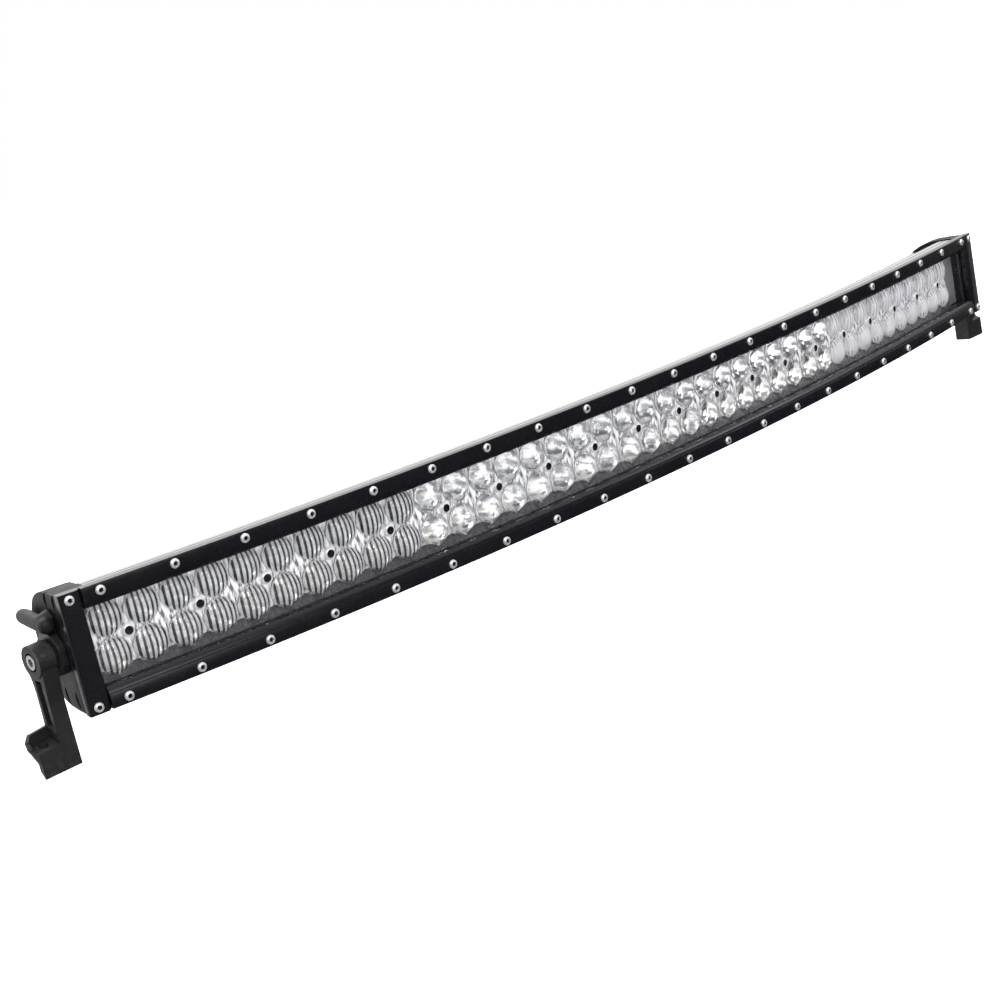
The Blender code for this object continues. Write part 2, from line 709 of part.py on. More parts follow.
def build_pivot_hardware(label, side):
    friction = ring_x(f"{label}_friction_washer", 10 * MM, 3.6 * MM, -1.3 * MM, -0.3 * MM, RUBBER)
    flat_low = RECESS_FLOOR + GAP
    flat = ring_x(f"{label}_flat_washer", 5.9 * MM, 3.3 * MM, flat_low, flat_low + 1.1 * MM, STAINLESS)
    spring_low = RECESS_FLOOR + 1.7 * MM
    spring_high = spring_low + 1.4 * MM
    spring = ring_x(f"{label}_spring_washer", 5.2 * MM, 3.3 * MM, spring_low, spring_high, STAINLESS)
    split = box("split", (0, -0.5 * MM, 0), (20 * MM, 0.5 * MM, 20 * MM), STAINLESS, cutters)
    cut(spring, split)
    head_low = spring_high + GAP
    bolt = cylinder_x(f"{label}_pivot_bolt", BOLT_HEAD_RADIUS, head_low, head_low + 5.7 * MM, STAINLESS)
    shank = cylinder_x("shank", BOLT_RADIUS, -6.5 * MM, head_low + 1 * MM, STAINLESS, cutters, 20)
    socket = cylinder_x("socket", 2.9 * MM, head_low + 2.7 * MM, 40 * MM, STAINLESS, cutters, 6)
    join(bolt, shank)
    cut(bolt, socket)
    for piece in (friction, flat, spring, bolt):
        settle(piece, side)


# ---------------------------------------------------------------- cable boot and vent

def build_cable_boot():
    """Rubber boot that leads the cable out of the left end cap and back along it."""
    curve = bpy.data.curves.new("boot_path", "CURVE")
    curve.dimensions = "3D"
    curve.bevel_depth = BOOT_RADIUS
    curve.bevel_resolution = 5
    curve.use_fill_caps = True
    path = [
        (15 * MM, 0.5), (16.5 * MM, 0.85), (19 * MM, 1.0), (30 * MM, 1.04), (50 * MM, 1.0),
        (62 * MM, 0.96), (65.4 * MM, 0.86), (67.2 * MM, 0.68), (68.0 * MM, 0.42),
    ]
    line = curve.splines.new("POLY")
    line.points.add(len(path) - 1)
    for point, (depth, swell) in zip(line.points, path):
        point.co = (-BOOT_STANDOFF, depth, 0, 1)
        point.radius = swell
    tube = bpy.data.objects.new("boot_path", curve)
    parts.objects.link(tube)
    bpy.context.view_layer.update()
    graph = bpy.context.evaluated_depsgraph_get()
    mesh = bpy.data.meshes.new_from_object(tube.evaluated_get(graph))
    bpy.data.objects.remove(tube)
    bm = bmesh.new()
    bm.from_mesh(mesh)
    bmesh.ops.remove_doubles(bm, verts=bm.verts, dist=0.00001)
    boot = to_object("cable_boot", bm, RUBBER)
    stem = cylinder_x("stem", 4 * MM, -5 * MM, 9 * MM, RUBBER, cutters, 16)
    flare = cylinder_x("flare", 6 * MM, -8.5 * MM, -GAP, RUBBER, cutters, 20, 9 * MM)
    for base_part in (stem, flare):
        place(base_part, Matrix.Translation((0, 26 * MM, 0)))
    mouth = cylinder_x("mouth", 1.7 * MM, -8 * MM, 12 * MM, RUBBER, cutters, 12)
    backwards = Matrix.Rotation(math.pi / 2, 4, "Z")
    place(mouth, Matrix.Translation((-BOOT_STANDOFF, 68.0 * MM, 0)) @ backwards)
    bpy.context.view_layer.update()
    join(boot, flare, stem)
    cut(boot, mouth)
    place(boot, bar_frame(-HALF_LENGTH, 0, BOOT_HEIGHT))
    clearance = cylinder_x("boss_clearance", BOSS_RADIUS + GAP, -40 * MM, 40 * MM, RUBBER, cutters, 48)
    place(clearance, Matrix.Translation(side_frame(-1).translation))
    bpy.context.view_layer.update()
    cut(boot, clearance)
    return boot


def boot_hole(cap):
    hole = cylinder_x("boot_hole", 4.4 * MM, -10 * MM, 10 * MM, RUBBER, cutters, 16)
    place(hole, bar_frame(-HALF_LENGTH, 0, BOOT_HEIGHT) @ Matrix.Translation((0, 26 * MM, 0)))
    bpy.context.view_layer.update()
    return cut(cap, hole)


def build_vent(cap):
    """Breather plug in the back of the right end cap."""
    along = HALF_LENGTH - 10 * MM
    frame = bar_frame(along, CAP_BACK_DEPTH, 0) @ Matrix.Rotation(math.pi / 2, 4, "Z")
    hole = cylinder_x("vent_hole", 3.4 * MM, -10 * MM, 10 * MM, RUBBER, cutters, 16)
    place(hole, frame)
    plug = cylinder_x("breather_vent", 6 * MM, GAP, 2.8 * MM, BOSS_PLASTIC, parts, 20)
    neck = cylinder_x("neck", 3 * MM, -6 * MM, 1 * MM, BOSS_PLASTIC, cutters, 16)
    join(plug, neck)
    place(plug, frame)
    bpy.context.view_layer.update()
    cut(cap, hole)


# ---------------------------------------------------------------- assembly

build_housing()
left_cap = build_end_cap("left_end_cap", -1)
right_cap = build_end_cap("right_end_cap", 1)
build_end_gasket("left_end_gasket", -1)
build_end_gasket("right_end_gasket", 1)
build_strips()
for label, side, cap in (("left", -1, left_cap), ("right", 1, right_cap)):
    bezel = build_end_bezel(f"{label}_end_bezel", side)
    for level, vertical in (("top", 1), ("bottom", -1)):
        build_end_screw(f"{label}_end_screw_{level}", side, vertical, bezel, cap)
build_window()
build_window_gasket()
build_modules()
build_boards()
build_driver_board()
bracket_shape = bracket_mesh()
for label, side in (("left", -1), ("right", 1)):
    build_bracket(label, side, bracket_shape)
    build_boss(label, side)
    build_pivot_hardware(label, side)
boot_hole(left_cap)
build_cable_boot()
build_vent(right_cap)
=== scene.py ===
import math

import bmesh
import bpy
from mathutils import Matrix, Vector


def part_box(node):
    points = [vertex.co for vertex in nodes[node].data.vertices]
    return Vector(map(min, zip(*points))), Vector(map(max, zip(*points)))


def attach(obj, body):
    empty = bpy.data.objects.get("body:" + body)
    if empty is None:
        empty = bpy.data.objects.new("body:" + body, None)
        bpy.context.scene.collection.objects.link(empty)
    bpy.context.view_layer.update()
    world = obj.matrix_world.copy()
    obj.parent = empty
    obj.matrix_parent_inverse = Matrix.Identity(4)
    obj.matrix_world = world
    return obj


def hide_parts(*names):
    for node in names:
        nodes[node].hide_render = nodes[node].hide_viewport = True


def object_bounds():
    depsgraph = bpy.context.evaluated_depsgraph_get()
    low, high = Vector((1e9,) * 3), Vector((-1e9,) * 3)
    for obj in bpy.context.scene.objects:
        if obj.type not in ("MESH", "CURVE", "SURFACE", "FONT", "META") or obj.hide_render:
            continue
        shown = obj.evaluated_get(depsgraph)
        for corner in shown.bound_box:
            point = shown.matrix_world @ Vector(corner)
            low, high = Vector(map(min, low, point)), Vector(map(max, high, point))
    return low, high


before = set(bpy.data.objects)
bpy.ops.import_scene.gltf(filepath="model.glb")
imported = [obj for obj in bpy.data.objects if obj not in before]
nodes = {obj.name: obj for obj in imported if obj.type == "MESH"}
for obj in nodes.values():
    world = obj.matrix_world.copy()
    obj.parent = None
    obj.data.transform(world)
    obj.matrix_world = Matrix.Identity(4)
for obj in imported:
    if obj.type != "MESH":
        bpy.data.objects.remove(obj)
cad_low, cad_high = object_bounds()

MM = 0.001
PHOTO_SIDE = 1000
FOCAL_PIXELS = 1693.4947
SENSOR_WIDTH = 36

# The bar's own measures, read from the frame or repeated from the CAD model
strip_low, strip_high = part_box("bezel_strip_top")
FRONT_Y = strip_low.y
HALF_HEIGHT = 40 * MM
MIDDLE_HEIGHT = strip_high.z - HALF_HEIGHT
ARC_RADIUS = 3038 * MM
HALF_LENGTH = 537 * MM
STRIP_HALF_LENGTH = 521.7 * MM
MODULE_PITCH = 51 * MM
MODULE_COUNT = 20
MODULE_SHIFT = -9 * MM
LENS_PITCH_X = 25.5 * MM
LENS_PITCH_Z = 25.6 * MM
ARC_STEPS = 120


# ---------------------------------------------------------------- camera

def build_camera():
    """The photograph's camera, as fitted to the bezel screws."""
    right = Vector((0.6978283, -0.6870598, -0.2024462))
    down = Vector((-0.3090351, -0.0338233, -0.9504490))
    forward = Vector((0.6461679, 0.7258132, -0.2359285))
    place = Vector((-0.9926151, -0.8814649 + FRONT_Y, 0.2840250 + MIDDLE_HEIGHT))
    data = bpy.data.cameras.new("camera")
    data.sensor_width = SENSOR_WIDTH
    data.lens = FOCAL_PIXELS / PHOTO_SIDE * SENSOR_WIDTH
    data.clip_start = 0.01
    data.clip_end = 200
    camera = bpy.data.objects.new("camera", data)
    bpy.context.scene.collection.objects.link(camera)
    rows = [(right[i], -down[i], -forward[i], place[i]) for i in range(3)]
    camera.matrix_world = Matrix((*rows, (0, 0, 0, 1)))
    bpy.context.scene.camera = camera


build_camera()


# ---------------------------------------------------------------- materials

def new_material(name):
    material = bpy.data.materials.new(name)
    material.use_nodes = True
    tree = material.node_tree
    return material, tree, tree.nodes["Principled BSDF"]


def mapped(tree, stretch=(1, 1, 1)):
    """Object coordinates in metres, stretched along some axes."""
    source = tree.nodes.new("ShaderNodeTexCoord")
    mapping = tree.nodes.new("ShaderNodeMapping")
    mapping.inputs["Scale"].default_value = stretch
    tree.links.new(source.outputs["Object"], mapping.inputs["Vector"])
    return mapping.outputs["Vector"]


def noise(tree, vector, scale, detail=3.0, roughness=0.55):
    node = tree.nodes.new("ShaderNodeTexNoise")
    node.inputs["Scale"].default_value = scale
    node.inputs["Detail"].default_value = detail
    node.inputs["Roughness"].default_value = roughness
    tree.links.new(vector, node.inputs["Vector"])
    return node.outputs["Fac"]


def between(tree, value, low, high, to_low=0.0, to_high=1.0):
    node = tree.nodes.new("ShaderNodeMapRange")
    node.inputs["From Min"].default_value = low
    node.inputs["From Max"].default_value = high
    node.inputs["To Min"].default_value = to_low
    node.inputs["To Max"].default_value = to_high
    tree.links.new(value, node.inputs["Value"])
    return node.outputs["Result"]


def mixed(tree, share, first, second):
    """Colour mix: each of first and second is a colour or a socket."""
    node = tree.nodes.new("ShaderNodeMix")
    node.data_type = "RGBA"
    for socket, value in ((node.inputs[6], first), (node.inputs[7], second)):
        if isinstance(value, tuple):
            socket.default_value = (*value, 1)
        else:
            tree.links.new(value, socket)
    tree.links.new(share, node.inputs[0])
    return node.outputs[2]


def bumped(tree, shader, height, distance):
    node = tree.nodes.new("ShaderNodeBump")
    node.inputs["Distance"].default_value = distance
    node.inputs["Strength"].default_value = 1.0
    tree.links.new(height, node.inputs["Height"])
    tree.links.new(node.outputs["Normal"], shader.inputs["Normal"])


def edge_share(tree):
    """0 on flat and hollow places, 1 on sharp outer edges."""
    geometry = tree.nodes.new("ShaderNodeNewGeometry")
    return between(tree, geometry.outputs["Pointiness"], 0.53, 0.62)


def surface(
    name, dark, light, rough, grain, grain_height, metallic=0.0, specular=0.5, blotch=18.0,
    stretch=(1, 1, 1), wear=None, coat=0.0, streaked=False,
):
    """A finish with slow colour and gloss variation, a fine grain, and lighter worn edges.

    rough is the lowest and highest roughness, grain and blotch are noise scales, and wear is the
    colour of worn edges. A streaked finish has its blotches stretched too, with harder limits.
    """
    material, tree, shader = new_material(name)
    plain = mapped(tree)
    long = mapped(tree, stretch)
    slow = noise(tree, long if streaked else plain, blotch, 4)
    fine = noise(tree, long, grain, 2, 0.6)
    limits = (0.42, 0.54) if streaked else (0.35, 0.65)
    colour = mixed(tree, between(tree, slow, *limits), dark, light)
    if wear:
        spots = noise(tree, plain, 260, 3)
        worn = tree.nodes.new("ShaderNodeMath")
        worn.operation = "MULTIPLY"
        tree.links.new(edge_share(tree), worn.inputs[0])
        tree.links.new(between(tree, spots, 0.45, 0.7), worn.inputs[1])
        colour = mixed(tree, worn.outputs[0], colour, wear)
    tree.links.new(colour, shader.inputs["Base Color"])
    mottled = noise(tree, plain, blotch * 3.1, 5)
    tree.links.new(between(tree, mottled, 0.3, 0.7, *rough), shader.inputs["Roughness"])
    bumped(tree, shader, fine, grain_height)
    shader.inputs["Metallic"].default_value = metallic
    shader.inputs["Specular IOR Level"].default_value = specular
    shader.inputs["IOR"].default_value = 1.5
    shader.inputs["Coat Weight"].default_value = coat
    shader.inputs["Coat Roughness"].default_value = 0.08
    return material


BEZEL = surface(
    "bezel_paint", (0.0036, 0.0036, 0.0055), (0.0046, 0.0046, 0.0065), (0.24, 0.3), 1500, 0.00001,
    specular=0.42, wear=(0.012, 0.012, 0.015),
)
CAP = surface(
    "cap_paint", (0.005, 0.005, 0.006), (0.007, 0.007, 0.0085), (0.45, 0.55), 1100, 0.00003,
    specular=0.1, wear=(0.03, 0.03, 0.033),
)
HOUSING = surface(
    "housing_anodised", (0.02, 0.02, 0.022), (0.03, 0.03, 0.033), (0.16, 0.24), 900, 0.00001,
    metallic=0.2, specular=0.8, stretch=(0.02, 0.3, 1), wear=(0.09, 0.09, 0.1), coat=0.5,
)
BRACKET = surface(
    "bracket_powder_coat", (0.0055, 0.006, 0.006), (0.0085, 0.009, 0.009), (0.48, 0.62), 1300, 0.00009,
    specular=0.4, wear=(0.035, 0.035, 0.035),
)
STEEL = surface(
    "stainless_steel", (0.7, 0.7, 0.71), (0.86, 0.86, 0.86), (0.35, 0.5), 2200, 0.000006,
    metallic=0.8, blotch=90,
)
BOLT_STEEL = surface(
    "zinc_bolt_steel", (0.3, 0.3, 0.31), (0.42, 0.42, 0.43), (0.25, 0.4), 2200, 0.00001,
    metallic=0.9, blotch=90,
)
# Painted shade in the hexagon sockets of the stainless bezel screws
SOCKET_PAINTED_SHADE = surface(
    "screw_socket_painted_shade", (0.01, 0.01, 0.01), (0.02, 0.02, 0.022), (0.25, 0.4), 2000, 0.00001,
    metallic=0.7, blotch=90,
)
CHROME = surface(
    "metallised_reflector", (0.55, 0.55, 0.57), (1.0, 1.0, 1.0), (0.12, 0.25), 500, 0.00008,
    metallic=0.35, blotch=230,
)
# Painted reflections: hard white and grey streaks on the middle modules' reflectors stand in for the
# patches of reflected light seen in the domes
REFLECTOR_PAINTED_REFLECTIONS = surface(
    "reflector_painted_reflections", (0.25, 0.25, 0.27), (1.0, 1.0, 1.0), (0.1, 0.2), 500, 0.0001,
    metallic=0.4, blotch=300, streaked=True,
)
RUBBER = surface(
    "boot_rubber", (0.005, 0.005, 0.006), (0.008, 0.008, 0.009), (0.5, 0.6), 1800, 0.00003,
    specular=0.2,
)
SILICONE = surface(
    "gasket_silicone", (0.02, 0.02, 0.021), (0.035, 0.035, 0.037), (0.55, 0.75), 1500, 0.00003,
)
BOSS = surface(
    "boss_plastic", (0.008, 0.008, 0.009), (0.014, 0.014, 0.015), (0.28, 0.4), 1200, 0.00004,
)
BOARD = surface(
    "white_solder_mask", (0.62, 0.63, 0.62), (0.74, 0.75, 0.74), (0.3, 0.45), 1500, 0.00001,
    blotch=40,
)
DRIVER = surface(
    "green_solder_mask", (0.01, 0.09, 0.035), (0.016, 0.13, 0.05), (0.25, 0.4), 1500, 0.00001,
    blotch=60,
)
WEB = surface(
    "tray_web", (0.14, 0.14, 0.16), (0.85, 0.85, 0.87), (0.12, 0.3), 300, 0.0005,
    metallic=0.1, blotch=420, stretch=(1, 1, 0.25), streaked=True,
)
MARGIN = surface(
    "margin_grey", (0.16, 0.16, 0.17), (0.175, 0.175, 0.185), (0.5, 0.6), 900, 0.00001,
    metallic=0.2, blotch=60,
)
# Black of the module screws, and painted shade on the screw seats' inner walls
SCREW_BLACK_AND_SEAT_SHADE = surface(
    "blackened_screw_and_painted_seat_shade", (0.001, 0.001, 0.001), (0.003, 0.003, 0.003), (0.5, 0.6), 2000, 0.00001,
    specular=0.15, blotch=90,
)
APRON = surface(
    "apron_grey", (0.04, 0.04, 0.044), (0.08, 0.08, 0.086), (0.2, 0.35), 900, 0.00001,
    metallic=0.3, blotch=120,
)
PHOSPHOR = surface(
    "led_phosphor", (0.5, 0.49, 0.44), (0.62, 0.61, 0.56), (0.4, 0.5), 1500, 0.00001, blotch=200,
)


def clear_plastic(
    name, roughness, dark=(0.96, 0.97, 0.98), light=(1.0, 1.0, 1.0), alpha=None, specular=0.5,
    through=0.97,
):
    """Clear plastic: through is its transmission, or alpha makes it a pane that bends no light."""
    material, tree, shader = new_material(name)
    plain = mapped(tree)
    slow = noise(tree, plain, 14, 4)
    tree.links.new(between(tree, slow, 0.3, 0.7, *roughness), shader.inputs["Roughness"])
    tint = mixed(tree, between(tree, slow, 0.35, 0.65), dark, light)
    tree.links.new(tint, shader.inputs["Base Color"])
    bumped(tree, shader, noise(tree, plain, 90, 2), 0.00002)
    shader.inputs["IOR"].default_value = 1.49
    shader.inputs["Specular IOR Level"].default_value = specular
    if alpha is None:
        shader.inputs["Transmission Weight"].default_value = through
    else:
        shader.inputs["Alpha"].default_value = alpha
    return material


LENS = clear_plastic("lens_plastic", (0.01, 0.05))
LENS_RIBBED = clear_plastic("lens_ribbed_plastic", (0.01, 0.06), through=0.8)
# Painted shade: dark stripes in the ribs' grooves and a dark rim, on plastic that is really clear
LENS_GROOVE_PAINTED_SHADE = clear_plastic(
    "lens_groove_painted_shade", (0.1, 0.2), (0.01, 0.01, 0.012), (0.05, 0.05, 0.055), specular=0.1,
)
# Painted sheen: a paler, more diffuse copy of the lens plastic for the right-hand modules, where the
# same lens looks milky in grazing light
LENS_PAINTED_SHEEN = clear_plastic(
    "lens_plastic_painted_sheen", (0.25, 0.4), (0.82, 0.82, 0.85), (0.95, 0.95, 0.98), through=0.66,
)
# Lighter painted shade: the grey rims of the clear domes, and the grooves and rims of the right-hand
# lenses
LENS_LIGHT_PAINTED_SHADE = clear_plastic(
    "lens_light_painted_shade", (0.15, 0.35), (0.66, 0.66, 0.69), (0.84, 0.84, 0.87), through=0.68,
)
# The pane's own colour is dark, because a light one greys everything behind it
PANE = clear_plastic(
    "window_plastic", (0.02, 0.06), (0.04, 0.04, 0.045), (0.08, 0.08, 0.085), alpha=0.05, specular=0.8,
)


# ---------------------------------------------------------------- mesh helpers

def finished_mesh(name, bm):
    bmesh.ops.recalc_face_normals(bm, faces=bm.faces)
    mesh = bpy.data.meshes.new(name)
    bm.to_mesh(mesh)
    bm.free()
    return mesh


def add_bevel(made, width, segments=2):
    modifier = made.modifiers.new("bevel", "BEVEL")
    modifier.width = width
    modifier.segments = segments
    modifier.limit_method = "ANGLE"
    modifier.angle_limit = math.radians(30)
    modifier.harden_normals = True


def add_piece(name, bm, material, body="bar", smooth_angle=35, bevel=0.0, segments=2):
    mesh = finished_mesh(name, bm)
    return add_mesh(name, mesh, material, body, smooth_angle, bevel, segments)


def add_mesh(name, mesh, material, body="bar", smooth_angle=35, bevel=0.0, segments=2):
    if not mesh.materials:
        mesh.materials.append(material)
    mesh.shade_smooth()
    mesh.set_sharp_from_angle(angle=math.radians(smooth_angle))
    made = bpy.data.objects.new(name, mesh)
    bpy.context.scene.collection.objects.link(made)
    if bevel:
        add_bevel(made, bevel, segments)
    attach(made, body)
    return made


def on_bar(along, depth, height):
    """The place at a distance along the bar's curve, behind its front and above its middle."""
    angle = along / ARC_RADIUS
    radius = ARC_RADIUS - depth
    return Vector((
        radius * math.sin(angle),
        FRONT_Y + ARC_RADIUS - radius * math.cos(angle),
        MIDDLE_HEIGHT + height,
    ))


def bar_frame(along, depth, height):
    turn = Matrix.Rotation(along / ARC_RADIUS, 4, "Z")
    return Matrix.Translation(on_bar(along, depth, height)) @ turn


def join_rings(bm, rings):
    """Faces between each ring of points and the next."""
    for first, second in zip(rings, rings[1:]):
        for index in range(len(first)):
            after = (index + 1) % len(first)
            bm.faces.new((first[index], first[after], second[after], second[index]))


def swept(outline, start, end, steps):
    """A closed (depth, height) outline carried along the bar's arc."""
    bm = bmesh.new()
    rings = []
    for step in range(steps + 1):
        along = start + (end - start) * step / steps
        rings.append([bm.verts.new(on_bar(along, depth, height)) for depth, height in outline])
    join_rings(bm, rings)
    bm.faces.new(rings[0])
    bm.faces.new(reversed(rings[-1]))
    return bm


def lathed(profile, segments, radius_of=None):
    """A (radius, height) profile turned about Z.

    radius_of may reshape a ring by its number and angle.
    """
    bm = bmesh.new()
    rings = []
    for number, (radius, height) in enumerate(profile):
        if radius == 0:
            rings.append([bm.verts.new((0, 0, height))])
            continue
        ring = []
        for step in range(segments):
            angle = 2 * math.pi * step / segments
            reach = radius_of(number, radius, angle) if radius_of else radius
            ring.append(bm.verts.new((reach * math.cos(angle), reach * math.sin(angle), height)))
        rings.append(ring)
    for first, second in zip(rings, rings[1:]):
        for step in range(segments):
            after = (step + 1) % segments
            corners = [first[step % len(first)], first[after % len(first)],
                       second[after % len(second)], second[step % len(second)]]
            bm.faces.new(list(dict.fromkeys(corners)))
    return bm


FACING = Matrix.Rotation(math.pi / 2, 4, "X")


def facing_front(along, depth, height):
    """Frame whose Z points out of the bar's front."""
    return bar_frame(along, depth, height) @ FACING


# ---------------------------------------------------------------- bezel, screws and window

STRIP_SCREWS = 21
SCREW_ROW = 35.3 * MM
END_SCREW = 530.5 * MM
SCREW_SIDES = 24
BEZEL_BACK = 7.3 * MM
WINDOW_HALF_LENGTH = 526 * MM
WINDOW_HALF_HEIGHT = 31 * MM


def rounded_strip():
    """Section of the top strip: a round outer edge, and a stepped slope down to the window."""
    outer = HALF_HEIGHT
    inner = HALF_HEIGHT - 14 * MM
    points = [(BEZEL_BACK, outer)]
    for step in range(5):
        turn = math.pi / 2 * step / 4
        points.append((0.7 * MM * (1 - math.sin(turn)), outer - 0.7 * MM * (1 - math.cos(turn))))
    points += [
        (0, inner + 4.5 * MM),
        (0.12 * MM, inner + 4.2 * MM),
        (0.9 * MM, inner + 3.9 * MM),
        (1.05 * MM, inner + 3.6 * MM),
        (1.05 * MM, inner + 2.5 * MM),
        (1.2 * MM, inner + 2.1 * MM),
        (3.2 * MM, inner + 0.3 * MM),
        (3.5 * MM, inner),
        (BEZEL_BACK, inner),
    ]
    return points


def build_bezels():
    top = rounded_strip()
    bottom = [(depth, -height) for depth, height in reversed(top)]
    for label, outline in (("top", top), ("bottom", bottom)):
        bm = swept(outline, -STRIP_HALF_LENGTH, STRIP_HALF_LENGTH, ARC_STEPS)
        strip = add_piece(f"bezel_{label}", bm, BEZEL, smooth_angle=28)
        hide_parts(f"bezel_strip_{label}")


def end_bezel_outline():
    """The same section for an end bezel, as (across, depth) points from the bar's end inwards."""
    low = -15 * MM
    points = [(low, BEZEL_BACK), (low, 3.5 * MM), (low + 0.3 * MM, 3.2 * MM),
              (low + 1.1 * MM, 1.2 * MM), (low + 1.3 * MM, 1.05 * MM),
              (low + 1.9 * MM, 1.05 * MM), (low + 2.1 * MM, 0.9 * MM),
              (low + 2.3 * MM, 0.12 * MM), (low + 2.5 * MM, 0)]
    for step in range(6):
        turn = math.pi / 2 * step / 5
        points.append((-1.5 * MM + 1.5 * MM * math.sin(turn), 1.5 * MM - 1.5 * MM * math.cos(turn)))
    points.append((0, BEZEL_BACK))
    return points


def build_end_bezels():
    outline = end_bezel_outline()
    for side, label in ((-1, "left"), (1, "right")):
        bm = bmesh.new()
        ends = []
        for height in (-HALF_HEIGHT, HALF_HEIGHT):
            ends.append([bm.verts.new((side * across, depth, height)) for across, depth in outline])
        join_rings(bm, ends)
        bm.faces.new(ends[0])
        bm.faces.new(reversed(ends[1]))
        bm.transform(bar_frame(side * HALF_LENGTH, 0, 0))
        bezel = add_piece(f"bezel_{label}_end", bm, BEZEL, bevel=0.4 * MM, segments=3)
        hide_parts(f"{label}_end_bezel")


def button_screw_mesh():
    """Button-head cap screw with a hexagon socket, its head standing on Z = 0."""
    profile = [(0, 0.35), (1.35, 0.35), (1.4, 0.4), (1.4, 1.72), (1.52, 1.84), (1.85, 1.84)]
    last_socket_ring = 4
    for step in range(1, 8):
        turn = math.pi / 2 * step / 7
        profile.append((1.85 + 1.4 * math.sin(turn), 0.34 + 1.5 * math.cos(turn)))
    profile += [(3.25, 0.12), (3.1, 0), (1.5, 0), (1.5, -6), (1.2, -6.4), (0, -6.4)]
    profile = [(radius * MM, height * MM) for radius, height in profile]

    def socket(number, radius, angle):
        if number > last_socket_ring:
            return radius
        turn = (angle % (math.pi / 3)) - math.pi / 6
        return radius / math.cos(turn)

    bm = lathed(profile, SCREW_SIDES, socket)
    # The socket's faces get painted shade
    for face in bm.faces:
        place = face.calc_center_median()
        if place.z > 0 and place.xy.length < 1.5 * MM:
            face.material_index = 1
    mesh = finished_mesh("button_screw", bm)
    mesh.materials.append(STEEL)
    mesh.materials.append(SOCKET_PAINTED_SHADE)
    return mesh


def build_bezel_screws():
    mesh = button_screw_mesh()
    for label, vertical in (("top", 1), ("bottom", -1)):
        for number in range(STRIP_SCREWS):
            along = (number - (STRIP_SCREWS - 1) / 2) * MODULE_PITCH
            screw = add_mesh(f"bezel_screw_{label}_{number + 1:02d}", mesh, STEEL)
            turn = Matrix.Rotation(0.7 * number + vertical, 4, "Z")
            screw.matrix_world = facing_front(along, 0, vertical * SCREW_ROW) @ turn
            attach(screw, "bar")
        for label_side, side in (("left", -1), ("right", 1)):
            screw = add_mesh(f"end_bezel_screw_{label_side}_{label}", mesh, STEEL)
            screw.matrix_world = facing_front(side * END_SCREW, 0, vertical * SCREW_ROW)
            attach(screw, "bar")
            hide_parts(f"{label_side}_end_screw_{label}")


def build_window():
    front, back, half = 7.8 * MM, 10.6 * MM, WINDOW_HALF_HEIGHT
    outline = [(front, half - 0.3 * MM), (front + 0.3 * MM, half), (back, half), (back, -half),
               (front + 0.3 * MM, -half), (front, -half + 0.3 * MM)]
    bm = swept(outline, -WINDOW_HALF_LENGTH, WINDOW_HALF_LENGTH, ARC_STEPS)
    pane = add_piece("window_pane", bm, PANE)
    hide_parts("front_window")


build_bezels()
build_end_bezels()
build_bezel_screws()
build_window()


# ---------------------------------------------------------------- housing

CAP_FLAT_DEPTH = 22 * MM
CAP_BACK_DEPTH = 68 * MM
CAP_ROUNDNESS = 2.4
HOUSING_HALF_HEIGHT = 38.3 * MM
HOUSING_HALF_LENGTH = 515.6 * MM
HOUSING_STEPS = 80
HOUSING_FRONT = 7.6 * MM
CHANNEL_FRONT = 12.3 * MM
CHANNEL_BACK = 26.2 * MM
CHANNEL_HALF_HEIGHT = 27.3 * MM
WINDOW_SEAT_HALF_HEIGHT = 31.3 * MM
FIN_COUNT = 9
FIN_PITCH = 7.4 * MM
FIN_HALF_THICKNESS = 1.1 * MM


def fin_tip(height):
    """Depth of a fin's tip, 2 mm inside the end caps' rounded outline."""
    share = min(abs(height) / HOUSING_HALF_HEIGHT, 0.97)
    reach = (1 - share ** CAP_ROUNDNESS) ** (1 / CAP_ROUNDNESS)
    return CAP_FLAT_DEPTH - 2 * MM + (CAP_BACK_DEPTH - CAP_FLAT_DEPTH) * reach


